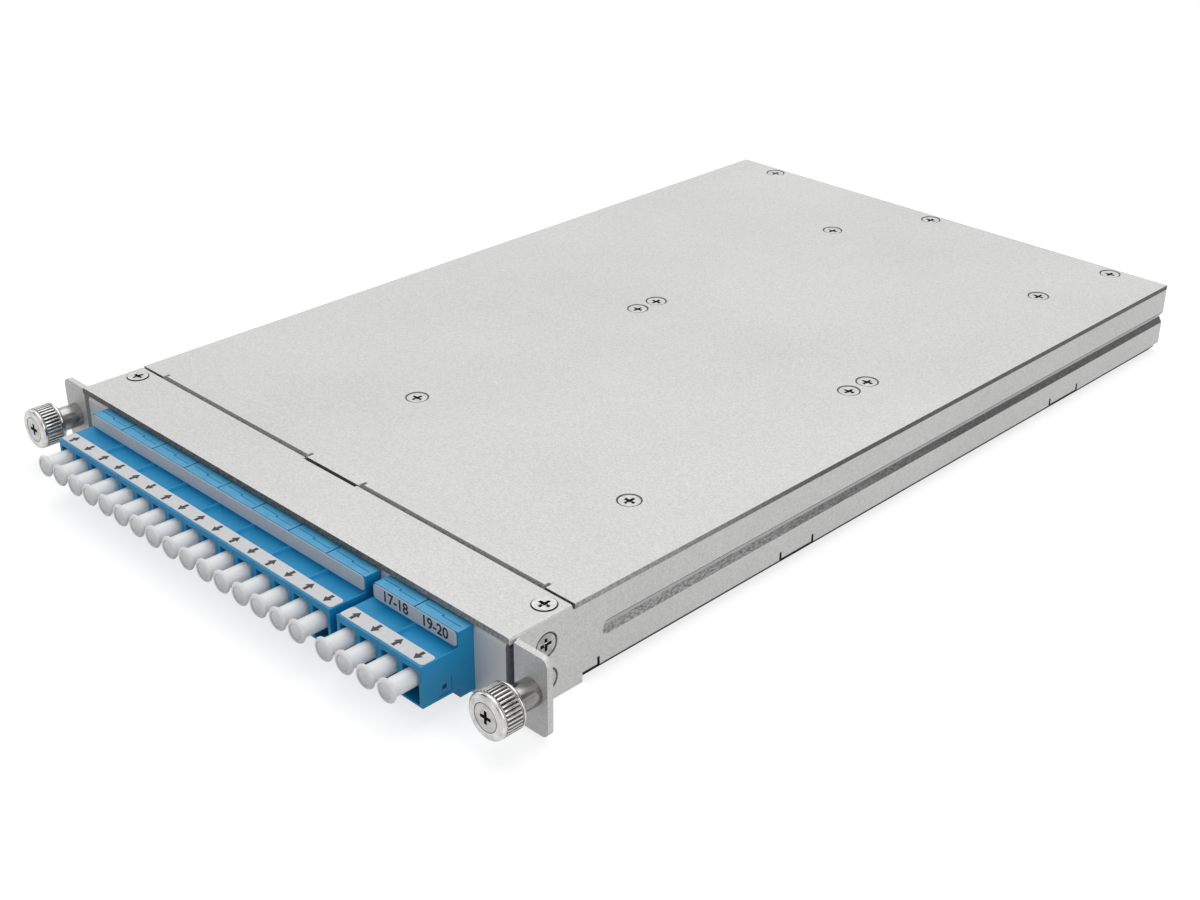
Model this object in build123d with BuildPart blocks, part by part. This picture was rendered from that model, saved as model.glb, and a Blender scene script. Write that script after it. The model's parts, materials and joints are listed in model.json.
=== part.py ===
# Rack cassette with fibre adapters, passive filters and captive thumbscrews
# Millimetres: +X to the right, +Y to the rear, +Z up, origin at the middle of the housing's underside
import os

from build123d import *

os.makedirs("parts", exist_ok=True)

# Housing
width = 150.0
depth = 241.5
height = 19.1
frame_sheet = 1.5
plate_sheet = 1.2
bend_inside = 0.5
fold_edge = 0.6
fit_gap = 0.1
front = -depth / 2
rear = depth / 2
wall_outside = width / 2
wall_inside = wall_outside - frame_sheet
strip_underside = height - frame_sheet
lid_underside = height - plate_sheet

# Front strip, lid edge and walls
strip_length = 16.3
strip_recess = 0.6
lid_setback = 1.5
lid_tab_reach = 0.9
middle_tab_half = 9.0
side_tab_width = 8.2
tab_relief = 0.9
lip_deep = 5.0
lid_bend = 1.4
leg_length = 18.9
flange_reach = 7.8
flange_runs = [(23.3, 79.2), (90.2, depth - 55.0), (depth - 42.3, depth - 2.5)]
flange_tick = 0.6
tick_height = 1.7
notch_lift = 1.0
wall_low = plate_sheet + notch_lift

# Guide groove pressed into each wall
groove_nose = 25.8
groove_tall = 3.1
groove_deep = 0.9
groove_level = 9.8

# Ears
ear_setback = 0.5
ear_reach = 9.5
ear_low = 0.8
ear_high = 18.4
ear_corner = 1.8
screw_inset = 4.15
screw_level = 9.87

# Front panel
panel_setback = 0.4
panel_top_flange = 14.6
panel_bottom_flange = 18.2
panel_side_flange = 13.4
panel_side_margin = 1.25

# Base pan
rear_flange_reach = 9.0

# Fibre adapters, in two rows side by side
adapter_pitch = 12.74
left_row_start = -65.1
left_row_count = 8
right_row_start = 39.0
right_row_count = 2
adapter_gap = 0.04
port_spacing = 6.25
port_level = 9.9
port_size = 4.7
shelf_level = 13.7
body_low = 4.3
nose_reach = 9.2
collar_thick = 3.9
collar_low = 2.3
collar_high = 17.2
collar_corner = 0.3
row_end_corner = 1.0
tail_inset = 0.3
tail_reach = 13.4
shelf_front = 4.2
trough_deep = 0.75
trough_ramp = 3.4
trough_rim = 0.35
latch_slot_long = 4.5
latch_slot_floor = 0.45
parting_wide = 0.15
parting_deep = 0.12
parting_step = 0.5
parting_margin = 0.9
side_pocket = 3.4
side_pocket_deep = 0.15
side_pocket_back = 5.3
side_pocket_low = 0.7
side_hole_wide = 1.0
side_hole_deep = 0.6
web_thick = 2.4
sleeve_outside = 0.81
sleeve_inside = 0.635
sleeve_length = 6.8
sleeve_slit = 0.35
holder_radius = 1.25
holder_length = 10.0
catch_height = 0.7
catch_length = 3.0

# Dust caps
cap_front_reach = 6.2
cap_disc_radius = 2.6
cap_disc_thick = 1.1
cap_stem_radius = 1.95
cap_stem_inside = 10.9
cap_bore_deep = 7.0
cap_face_radius = 1.6
cap_face_deep = 0.2
cap_edge = 0.35

# Paper labels
label_thick = 0.15
port_label_width = 3.6
port_label_margin = 0.3
row_label_margin = 0.45
label_corner = 0.8

# Flat-head screws
head_radius = 2.5
head_seat_gap = 0.2
shank_radius = 1.5
head_sink = 0.15
cross_arm = 1.45
cross_width = 0.75
cross_deep = 0.8
cross_taper = 8
lid_screw_length = 6.0
short_screw_length = 5.0
strip_screw_length = 4.0

# Screw places
rear_row_inset = 3.6
rear_row_half = 59.6
strip_hole_x = 70.95
strip_hole_back = 12.7
side_hole_back = 9.4
side_hole_levels = (5.1, 13.2)
base_hole_inset = 4.2
base_hole_places = [35.0, 67.0, 105.0, depth - 69.5, depth - 21.5]

# Captive thumbscrews
knob_radius = 4.95
knob_length = 6.0
knob_face = 11.1
knob_bore = 3.15
knob_rim = 0.85
knob_front_round = 0.68
knob_rear_edge = 0.42
knob_groove = 0.3
flute_count = 36
flute_radius = 0.3
disc_radius = 2.95
disc_thick = 1.2
ferrule_radius = 2.9
ferrule_front = 6.1
ferrule_shank = 2.5
ferrule_bore = 1.58
keeper_thick = 0.8
keeper_radius = 1.25
neck_radius = 1.15
thread_length = 1.9
thread_chamfer = 0.4
spring_mean = 2.1
spring_wire = 0.22
spring_turns = 3

# Filters and fibre inside
module_width = 76.0
module_tall = 9.0
module_corner = 3.0
module_end_margin = 3.0
module_spacing_x = 69.4
module_centre_x = 19.7
module_first_hole = 53.1
module_last_hole_inset = 31.3
module_hole_gap = 7.1
module_gland_radius = 3.0
module_gland_long = 5.0
plug_size = 4.5
plug_length = 11.0
plug_inside = 8.0
boot_length = 12.0
boot_size = 3.2
boot_taper = 4
fibre_radius = 0.45
loom_radius = 2.0
leg_radius = 1.6
loom_row = 42.0
loom_corner = 14.0
loom_sweep = 30.0
leg_join = 20.0
leg_run = 18.7
saddle_width = 7.0
saddle_long = 5.0
saddle_adapters = [left_row_count // 2 + 1, left_row_count + 1]
saddle_lane_places = [58.0, 130.0]


def behind(distance):
    """Y of a place this far behind the front edge of the strip."""
    return front + distance


def across(y):
    """Plane across the housing: its x is X, its y is Z, and it faces the front."""
    return Plane.XZ.offset(-y)


def lengthwise(x):
    """Plane along the housing: its x is Y, its y is Z, and it faces right."""
    return Plane.YZ.offset(x)


def save(piece, name):
    piece.part.label = name
    export_step(piece.part, f"parts/{name}.step")


panel_front = behind(panel_setback)
panel_back = panel_front + plate_sheet
ear_out = wall_outside + ear_reach
ear_front = behind(ear_setback)
ear_back = ear_front + frame_sheet
screw_out = ear_out - screw_inset
bend_outside = frame_sheet + bend_inside
wall_start = ear_front + bend_outside
seam_front = behind(strip_length)

# Filters fill the length between their first and last screws
module_spacing_y = (depth - module_last_hole_inset - module_first_hole - module_hole_gap) / 2
module_length = module_spacing_y + 2 * module_end_margin
module_places = [
    module_first_hole + module_spacing_y / 2,
    depth - module_last_hole_inset - module_spacing_y / 2,
]

# Screw places in the top and in the walls
module_holes = [
    (module_centre_x + sx * module_spacing_x / 2, behind(place + sy * module_spacing_y / 2))
    for place in module_places
    for sx in (-1, 1)
    for sy in (-1, 1)
]
rear_holes = [(x, rear - rear_row_inset) for x in (-rear_row_half, 0, rear_row_half)]
lid_holes = module_holes + rear_holes
strip_hole_y = behind(strip_hole_back)
side_hole_y = behind(side_hole_back)


# Frame: one folded sheet with strip, walls, ears, grooves and flanges, built as its right half
with BuildPart() as frame:
    with BuildSketch(across(wall_start)):
        with BuildLine():
            Polyline(
                (0, strip_underside),
                (wall_inside, strip_underside),
                (wall_inside, 0),
                (wall_outside, 0),
                (wall_outside, height),
                (0, height),
                close=True,
            )
        make_face()
    extrude(amount=-(seam_front - wall_start))
    with BuildSketch(Plane.XY.offset(strip_underside)):
        with BuildLine():
            Polyline((0, front), (wall_outside, front), (wall_outside, wall_start), (0, wall_start), close=True)
        make_face()
    extrude(amount=frame_sheet)
    top_edges = frame.edges().filter_by(Axis.Y).group_by(Axis.X)[-1].sort_by(Axis.Z)
    fillet([edge for edge in top_edges if edge.center().Z > height - fold_edge], radius=fold_edge)
    # The front strip gives way to the lid's middle tab
    with BuildSketch(Plane.XY.offset(strip_underside)):
        with Locations((0, seam_front)):
            Rectangle(2 * (middle_tab_half + fit_gap), 2 * strip_recess)
    extrude(amount=frame_sheet, mode=Mode.SUBTRACT)
    # Leg of the wall, then the long wall on which the lid lies
    with BuildSketch(lengthwise(wall_inside)):
        with BuildLine():
            Polyline(
                (seam_front, 0),
                (behind(leg_length), 0),
                (behind(leg_length), wall_low),
                (rear, wall_low),
                (rear, lid_underside),
                (seam_front, lid_underside),
                close=True,
            )
        make_face()
    extrude(amount=frame_sheet)
    # Flanges turned in under the wall, with a rounded bend and a relief slit at each end
    for run_start, run_end in flange_runs:
        with BuildSketch(across(behind(run_start))):
            with BuildLine():
                Line((wall_inside - flange_reach, plate_sheet), (wall_outside - notch_lift, plate_sheet))
                RadiusArc((wall_outside - notch_lift, plate_sheet), (wall_outside, wall_low), -notch_lift)
                Line((wall_outside, wall_low), (wall_inside, wall_low))
                Line((wall_inside, wall_low), (wall_inside, plate_sheet + frame_sheet))
                Line(
                    (wall_inside, plate_sheet + frame_sheet),
                    (wall_inside - flange_reach, plate_sheet + frame_sheet),
                )
                Line(
                    (wall_inside - flange_reach, plate_sheet + frame_sheet),
                    (wall_inside - flange_reach, plate_sheet),
                )
            make_face()
        extrude(amount=-(run_end - run_start))
    slit_places = [place for run in flange_runs for place in run][:-1]
    with BuildSketch(lengthwise(wall_inside - fit_gap)):
        with Locations(*[(behind(place), wall_low) for place in slit_places]):
            Rectangle(flange_tick, 2 * tick_height)
    extrude(amount=frame_sheet + 2 * fit_gap, mode=Mode.SUBTRACT)
    # Guide groove: pressed inwards, so it stands proud inside the wall
    with BuildSketch(across(behind(groove_nose))):
        with BuildLine():
            Polyline(
                (wall_inside, groove_level - groove_tall / 2),
                (wall_inside - groove_deep, groove_level),
                (wall_inside, groove_level + groove_tall / 2),
                close=True,
            )
        make_face()
    extrude(amount=-(rear - behind(groove_nose)))
    with Locations((wall_inside - groove_deep / 2, behind(groove_nose), groove_level)):
        Cone(groove_tall / 2, 0, groove_deep, rotation=(0, -90, 0))
    with BuildSketch(across(behind(groove_nose))):
        with BuildLine():
            Polyline(
                (wall_outside, groove_level - groove_tall / 2),
                (wall_outside - groove_deep, groove_level),
                (wall_outside, groove_level + groove_tall / 2),
                close=True,
            )
        make_face()
    extrude(amount=-(rear - behind(groove_nose)), mode=Mode.SUBTRACT)
    with Locations((wall_outside - groove_deep / 2, behind(groove_nose), groove_level)):
        Cone(groove_tall / 2, 0, groove_deep, rotation=(0, -90, 0), mode=Mode.SUBTRACT)
    # Ear bent outwards from the wall
    with BuildSketch(Plane.XY.offset(ear_low)):
        with BuildLine():
            RadiusArc((wall_inside, wall_start), (wall_inside + bend_outside, ear_front), bend_outside)
            Line((wall_inside + bend_outside, ear_front), (ear_out, ear_front))
            Line((ear_out, ear_front), (ear_out, ear_back))
            Line((ear_out, ear_back), (wall_outside + bend_inside, ear_back))
            RadiusArc((wall_outside + bend_inside, ear_back), (wall_outside, wall_start), -bend_inside)
            Line((wall_outside, wall_start), (wall_inside, wall_start))
        make_face()
    extrude(amount=ear_high - ear_low)
    ear_edges = frame.edges().filter_by(Axis.Y).group_by(Axis.X)[-1]
    fillet(ear_edges, radius=ear_corner)
    with BuildSketch(across(ear_front)):
        with Locations((screw_out, screw_level)):
            Circle(ferrule_shank)
    extrude(amount=-frame_sheet, mode=Mode.SUBTRACT)
    # Countersinks for the strip screw and the two side screws
    with Locations((strip_hole_x, strip_hole_y, height)):
        CounterSinkHole(
            shank_radius + fit_gap,
            head_radius + head_seat_gap,
            depth=frame_sheet,
            counter_sink_angle=90,
        )
    for level in side_hole_levels:
        with Locations(Plane(origin=(wall_outside, side_hole_y, level), x_dir=(0, 1, 0), z_dir=(1, 0, 0))):
            CounterSinkHole(
                shank_radius + fit_gap,
                head_radius + head_seat_gap + head_sink,
                depth=frame_sheet,
                counter_sink_angle=90,
            )
    # Holes in the flanges for the screws from below
    with Locations(*[(wall_inside - base_hole_inset, behind(place), plate_sheet) for place in base_hole_places]):
        Cylinder(shank_radius + fit_gap, 2 * (frame_sheet + fit_gap), mode=Mode.SUBTRACT)
    mirror(about=Plane.YZ)
save(frame, "frame")

# Lid: flat sheet with three tabs on its front edge
lid_front = seam_front + lid_setback
with BuildPart() as lid:
    with BuildSketch(Plane.XY.offset(lid_underside)):
        with Locations((0, (lid_front + rear) / 2)):
            Rectangle(width, rear - lid_front)
        with Locations(*[(sx * (wall_outside - side_tab_width / 2), lid_front) for sx in (-1, 1)]):
            Rectangle(side_tab_width, 2 * lid_tab_reach)
        with Locations((0, lid_front)):
            Rectangle(2 * middle_tab_half, 2 * (lid_tab_reach + strip_recess / 2))
        relief_x = [wall_outside - side_tab_width - tab_relief / 2, middle_tab_half + tab_relief / 2]
        with Locations(*[(sx * x, lid_front) for x in relief_x for sx in (-1, 1)]):
            Rectangle(tab_relief, 2 * tab_relief, mode=Mode.SUBTRACT)
    extrude(amount=plate_sheet)
    # Between the tabs the sheet bends down behind the strip, as a stiffening lip
    lip_front = seam_front + fit_gap
    lip_inner_end = middle_tab_half + tab_relief
    lip_outer_end = wall_outside - side_tab_width - tab_relief
    for lip_start in (-lip_outer_end, lip_inner_end):
        with BuildSketch(lengthwise(lip_start)):
            with BuildLine():
                Line((lip_front, height - lip_deep), (lip_front, height - lid_bend))
                RadiusArc((lip_front, height - lid_bend), (lip_front + lid_bend, height), lid_bend)
                Line((lip_front + lid_bend, height), (lid_front + lid_bend, height))
                Line((lid_front + lid_bend, height), (lid_front + lid_bend, lid_underside))
                Line((lid_front + lid_bend, lid_underside), (lip_front + lid_bend, lid_underside))
                RadiusArc(
                    (lip_front + lid_bend, lid_underside),
                    (lip_front + plate_sheet, height - lid_bend),
                    -(lid_bend - plate_sheet),
                )
                Line((lip_front + plate_sheet, height - lid_bend), (lip_front + plate_sheet, height - lip_deep))
                Line((lip_front + plate_sheet, height - lip_deep), (lip_front, height - lip_deep))
            make_face()
        extrude(amount=lip_outer_end - lip_inner_end)
    with Locations(*[(x, y, height) for x, y in lid_holes]):
        CounterSinkHole(
            shank_radius + fit_gap,
            head_radius + head_seat_gap + head_sink,
            depth=plate_sheet,
            counter_sink_angle=90,
        )
save(lid, "lid")

# Base pan: bottom sheet with the rear wall folded up and a flange folded forward under the lid
pan_front = behind(leg_length + 2 * fit_gap)
pan_half = wall_inside - fit_gap
with BuildPart() as base_pan:
    with BuildSketch(lengthwise(-pan_half)):
        with BuildLine():
            Polyline(
                (pan_front, 0),
                (rear, 0),
                (rear, lid_underside),
                (rear - rear_flange_reach, lid_underside),
                (rear - rear_flange_reach, lid_underside - plate_sheet),
                (rear - plate_sheet, lid_underside - plate_sheet),
                (rear - plate_sheet, plate_sheet),
                (pan_front, plate_sheet),
                close=True,
            )
        make_face()
    extrude(amount=2 * pan_half)
    pan_edges = base_pan.edges().filter_by(Axis.X)
    outer_folds = pan_edges.group_by(Axis.Y)[-1]
    fillet(outer_folds, radius=plate_sheet + bend_inside)
    inner_folds = [
        edge
        for edge in base_pan.edges().filter_by(Axis.X)
        if abs(edge.center().Y - (rear - plate_sheet)) < fit_gap
        and plate_sheet - fit_gap < edge.center().Z < lid_underside - plate_sheet + fit_gap
    ]
    fillet(inner_folds, radius=bend_inside)
    # The wall's flanges end short of the rear fold, and the rear wall stands between the grooves
    for sx in (-1, 1):
        with BuildSketch(across(rear + fit_gap)):
            with BuildLine():
                Polyline(
                    (sx * (pan_half + fit_gap), groove_level - groove_tall / 2 - groove_deep),
                    (sx * (pan_half - groove_deep - fit_gap), groove_level - groove_deep),
                    (sx * (pan_half - groove_deep - fit_gap), groove_level + groove_deep),
                    (sx * (pan_half + fit_gap), groove_level + groove_tall / 2 + groove_deep),
                    close=True,
                )
            make_face()
        extrude(amount=plate_sheet + bend_inside + 2 * fit_gap, mode=Mode.SUBTRACT)
    with Locations(*[(x, y, lid_underside) for x, y in rear_holes]):
        Cylinder(shank_radius + fit_gap, 2 * (plate_sheet + fit_gap), mode=Mode.SUBTRACT)
    base_holes = [
        (sx * (wall_inside - base_hole_inset), behind(place)) for place in base_hole_places for sx in (-1, 1)
    ]
    for x, y in base_holes:
        with Locations(Plane(origin=(x, y, 0), x_dir=(1, 0, 0), z_dir=(0, 0, -1))):
            CounterSinkHole(
                shank_radius + fit_gap,
                head_radius + head_seat_gap + head_sink,
                depth=plate_sheet,
                counter_sink_angle=90,
            )
save(base_pan, "base_pan")

# Front panel: folded tray that carries the adapters, with two long cut-outs
panel_half = wall_inside - fit_gap
rows = [(left_row_start, left_row_count), (right_row_start, right_row_count)]
with BuildPart() as front_panel:
    with BuildSketch(lengthwise(-panel_half)):
        with BuildLine():
            Polyline(
                (behind(panel_bottom_flange), 0),
                (panel_front, 0),
                (panel_front, strip_underside),
                (behind(panel_top_flange), strip_underside),
                (behind(panel_top_flange), strip_underside - plate_sheet),
                (panel_back, strip_underside - plate_sheet),
                (panel_back, plate_sheet),
                (behind(panel_bottom_flange), plate_sheet),
                close=True,
            )
        make_face()
    extrude(amount=2 * panel_half)
    fillet(front_panel.edges().filter_by(Axis.X).group_by(Axis.Y)[0], radius=plate_sheet + bend_inside)
    for sx in (-1, 1):
        with BuildSketch(lengthwise(sx * (panel_half - plate_sheet / 2))):
            with BuildLine():
                Polyline(
                    (panel_front + plate_sheet / 2, plate_sheet + panel_side_margin),
                    (behind(panel_side_flange), plate_sheet + panel_side_margin),
                    (behind(panel_side_flange), strip_underside - plate_sheet - panel_side_margin),
                    (panel_front + plate_sheet / 2, strip_underside - plate_sheet - panel_side_margin),
                    close=True,
                )
            make_face()
        extrude(amount=plate_sheet / 2, both=True)
    for row_start, count in rows:
        row_middle = row_start + count * adapter_pitch / 2
        with BuildSketch(across(panel_front)):
            with Locations((row_middle, (shelf_level + body_low) / 2)):
                Rectangle(count * adapter_pitch - 2 * tail_inset + 2 * fit_gap, shelf_level - body_low + 2 * fit_gap)
        extrude(amount=-plate_sheet, mode=Mode.SUBTRACT)
    with Locations(*[(sx * strip_hole_x, strip_hole_y, strip_underside) for sx in (-1, 1)]):
        Cylinder(shank_radius + fit_gap, 2 * (plate_sheet + fit_gap), mode=Mode.SUBTRACT)
    for level in side_hole_levels:
        for sx in (-1, 1):
            with Locations((sx * panel_half, side_hole_y, level)):
                Cylinder(
                    shank_radius + fit_gap,
                    2 * (plate_sheet + fit_gap),
                    rotation=(0, 90, 0),
                    mode=Mode.SUBTRACT,
                )
save(front_panel, "front_panel")

# Adapters: moulded duplex bodies whose tails pass through the panel
nose_front = panel_front - collar_thick - nose_reach
tail_back = panel_front + tail_reach
web_middle = (nose_front + tail_back) / 2
adapter_half = (adapter_pitch - adapter_gap) / 2
collar_middle = panel_front - collar_thick / 2
adapter_places = [
    (row_start + (index + 0.5) * adapter_pitch, index == 0, index == count - 1)
    for row_start, count in rows
    for index in range(count)
]
ports = [place[0] + sx * port_spacing / 2 for place in adapter_places for sx in (-1, 1)]
for number, (middle, is_first, is_last) in enumerate(adapter_places, start=1):
    with BuildPart() as adapter:
        # Nose, then the collar that seats on the panel, then the tail
        with BuildSketch(across(nose_front)):
            with Locations((middle, (shelf_level + body_low) / 2)):
                Rectangle(2 * adapter_half, shelf_level - body_low)
        extrude(amount=-nose_reach)
        with BuildSketch(across(panel_front - collar_thick)) as collar_outline:
            with Locations((middle, (collar_high + collar_low) / 2)):
                Rectangle(2 * adapter_half, collar_high - collar_low)
            corners = collar_outline.vertices()
            left_corners = corners.group_by(Axis.X)[0]
            right_corners = corners.group_by(Axis.X)[-1]
            fillet(left_corners, radius=row_end_corner if is_first else collar_corner)
            fillet(right_corners, radius=row_end_corner if is_last else collar_corner)
        extrude(amount=-collar_thick)
        with BuildSketch(across(panel_front)):
            with Locations((middle, (shelf_level + body_low) / 2)):
                Rectangle(adapter_pitch - 2 * tail_inset, shelf_level - body_low)
        extrude(amount=-tail_reach)
        # Snap catches hold the tail behind the panel, above and below
        for edge_level, up in ((shelf_level, 1), (body_low, -1)):
            with BuildSketch(lengthwise(middle - catch_length / 2)):
                with BuildLine():
                    Polyline(
                        (panel_back + fit_gap, edge_level),
                        (panel_back + fit_gap, edge_level + up * catch_height),
                        (panel_back + fit_gap + catch_length, edge_level),
                        close=True,
                    )
                make_face()
            extrude(amount=catch_length)
        # Trough behind the label, with a ramp at its left end
        ramp = trough_ramp if is_first else trough_rim
        trough_right = adapter_half - trough_rim if is_last else adapter_half
        with BuildSketch(across(panel_front - collar_thick)):
            with BuildLine():
                Polyline(
                    (middle - adapter_half + trough_rim, shelf_level),
                    (middle - adapter_half + trough_rim + ramp, shelf_level - trough_deep),
                    (middle + trough_right, shelf_level - trough_deep),
                    (middle + trough_right, shelf_level),
                    close=True,
                )
            make_face()
        extrude(amount=nose_reach - shelf_front, mode=Mode.SUBTRACT)
        # Parting line across the top of the collar, with a step in its middle
        with BuildSketch(Plane.XY.offset(collar_high)):
            half_line = adapter_half - parting_margin
            for sx in (-1, 1):
                with Locations((middle + sx * half_line / 2, collar_middle - sx * parting_step / 2)):
                    Rectangle(half_line, parting_wide)
            with Locations((middle, collar_middle)):
                Rectangle(parting_wide, parting_step + parting_wide)
        extrude(amount=-parting_deep, mode=Mode.SUBTRACT)
        # Shallow pocket with a square hole in each side of the nose
        pocket_middle = panel_front - collar_thick - side_pocket_back + side_pocket / 2
        pocket_level = body_low + side_pocket_low + side_pocket / 2
        for sx in (-1, 1):
            with BuildSketch(lengthwise(middle + sx * adapter_half)):
                with Locations((pocket_middle, pocket_level)):
                    Rectangle(side_pocket, side_pocket)
            extrude(amount=-sx * side_pocket_deep, mode=Mode.SUBTRACT)
            with BuildSketch(lengthwise(middle + sx * adapter_half)):
                with Locations((pocket_middle, pocket_level)):
                    Rectangle(side_hole_wide, side_hole_wide)
            extrude(amount=-sx * side_hole_deep, mode=Mode.SUBTRACT)
        # Ports: a square socket from each side of a web, and the tube that holds the sleeve
        for sx in (-1, 1):
            port_x = middle + sx * port_spacing / 2
            with BuildSketch(across(nose_front)):
                with Locations((port_x, port_level)):
                    Rectangle(port_size, port_size)
            extrude(amount=-(web_middle - web_thick / 2 - nose_front), mode=Mode.SUBTRACT)
            with BuildSketch(across(tail_back)):
                with Locations((port_x, port_level)):
                    Rectangle(port_size, port_size)
            extrude(amount=tail_back - web_middle - web_thick / 2, mode=Mode.SUBTRACT)
            with BuildSketch(across(nose_front)):
                with Locations((port_x, (body_low + latch_slot_floor + port_level) / 2)):
                    Rectangle(port_size, port_level - body_low - latch_slot_floor)
            extrude(amount=-latch_slot_long, mode=Mode.SUBTRACT)
            with Locations((port_x, web_middle, port_level)):
                Cylinder(holder_radius, holder_length, rotation=(90, 0, 0))
                Cylinder(sleeve_outside, holder_length, rotation=(90, 0, 0), mode=Mode.SUBTRACT)
    save(adapter, f"lc_adapter_{number}")

# Split sleeves that line up the fibres, one in each port
with BuildPart() as alignment_sleeves:
    with BuildSketch(across(web_middle + sleeve_length / 2)):
        with Locations(*[(x, port_level) for x in ports]):
            Circle(sleeve_outside)
            Circle(sleeve_inside, mode=Mode.SUBTRACT)
        with Locations(*[(x, port_level + sleeve_outside) for x in ports]):
            Rectangle(sleeve_slit, sleeve_outside, mode=Mode.SUBTRACT)
    extrude(amount=sleeve_length)
save(alignment_sleeves, "alignment_sleeves")

# Paper labels on the shelf of each row and on the collars above it
for side_name, (row_start, count) in zip(("left", "right"), rows):
    row_long = count * adapter_pitch
    row_middle = row_start + row_long / 2
    with BuildPart() as port_label:
        with BuildSketch(Plane.XY.offset(shelf_level)):
            with Locations((row_middle, nose_front + shelf_front - port_label_width / 2 - fit_gap)):
                RectangleRounded(row_long - 2 * port_label_margin, port_label_width, label_corner)
        extrude(amount=label_thick)
    save(port_label, f"port_label_{side_name}")
    with BuildPart() as row_label:
        with BuildSketch(across(panel_front - collar_thick)):
            with Locations((row_middle, (shelf_level + collar_high) / 2 - fit_gap)):
                RectangleRounded(
                    row_long - 2 * row_label_margin,
                    collar_high - shelf_level - 2 * fit_gap,
                    label_corner,
                )
        extrude(amount=label_thick)
    save(row_label, f"row_label_{side_name}")

# Dust caps: a hollow stem over the sleeve tube, closed by a disc
cap_front = nose_front - cap_front_reach
cap_back = nose_front + cap_stem_inside
for number, port_x in enumerate(ports, start=1):
    with BuildPart() as dust_cap:
        with BuildSketch(lengthwise(port_x)):
            with BuildLine():
                Polyline(
                    (cap_front + cap_face_deep, port_level),
                    (cap_front + cap_face_deep, port_level + cap_face_radius),
                    (cap_front, port_level + cap_face_radius + cap_face_deep),
                    (cap_front, port_level + cap_disc_radius - cap_edge),
                    (cap_front + cap_edge, port_level + cap_disc_radius),
                    (cap_front + cap_disc_thick - cap_edge, port_level + cap_disc_radius),
                    (cap_front + cap_disc_thick, port_level + cap_disc_radius - cap_edge),
                    (cap_front + cap_disc_thick, port_level + cap_stem_radius),
                    (cap_back, port_level + cap_stem_radius),
                    (cap_back, port_level + holder_radius + fit_gap),
                    (cap_back - cap_bore_deep, port_level + holder_radius + fit_gap),
                    (cap_back - cap_bore_deep, port_level),
                    close=True,
                )
            make_face()
        revolve(axis=Axis((port_x, 0, port_level), (0, 1, 0)))
    save(dust_cap, f"dust_cap_{number}")


def flat_head_screw(head, length, sink):
    """Flat-head screw with a cross recess, on a plane whose normal points out of the head."""
    cone_end = sink + head_radius - shank_radius
    with BuildSketch(Plane(origin=head.origin, x_dir=head.x_dir, z_dir=head.y_dir)) as outline:
        with BuildLine():
            Polyline(
                (0, sink),
                (head_radius, sink),
                (shank_radius, cone_end),
                (shank_radius, length - thread_chamfer),
                (shank_radius - thread_chamfer, length),
                (0, length),
                close=True,
            )
        make_face()
    revolve(outline.sketch, axis=Axis(head.origin, head.z_dir))
    with BuildSketch(head.offset(-sink)) as recess:
        Rectangle(2 * cross_arm, cross_width)
        Rectangle(cross_width, 2 * cross_arm)
    extrude(recess.sketch, amount=-cross_deep, taper=cross_taper, mode=Mode.SUBTRACT)


# Screws through the lid: eight into the filters and three into the rear flange
with BuildPart() as lid_screws:
    for x, y in lid_holes:
        flat_head_screw(Plane(origin=(x, y, height), x_dir=(1, 0, 0), z_dir=(0, 0, 1)), lid_screw_length, head_sink)
save(lid_screws, "lid_screws")

# Two screws hold the front strip, with heads that stand a little proud
with BuildPart() as strip_screws:
    for sx in (-1, 1):
        head = Plane(origin=(sx * strip_hole_x, strip_hole_y, height), x_dir=(1, 0, 0), z_dir=(0, 0, 1))
        flat_head_screw(head, strip_screw_length, -head_sink)
save(strip_screws, "strip_screws")

# Four screws through the walls into the panel's side flanges
with BuildPart() as side_screws:
    for sx in (-1, 1):
        for level in side_hole_levels:
            head = Plane(origin=(sx * wall_outside, side_hole_y, level), x_dir=(0, 1, 0), z_dir=(sx, 0, 0))
            flat_head_screw(head, short_screw_length, head_sink)
save(side_screws, "side_screws")

# Screws from below through the pan into the flanges
with BuildPart() as base_screws:
    for x, y in base_holes:
        head = Plane(origin=(x, y, 0), x_dir=(1, 0, 0), z_dir=(0, 0, -1))
        flat_head_screw(head, short_screw_length - plate_sheet, head_sink)
save(base_screws, "base_screws")

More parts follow.
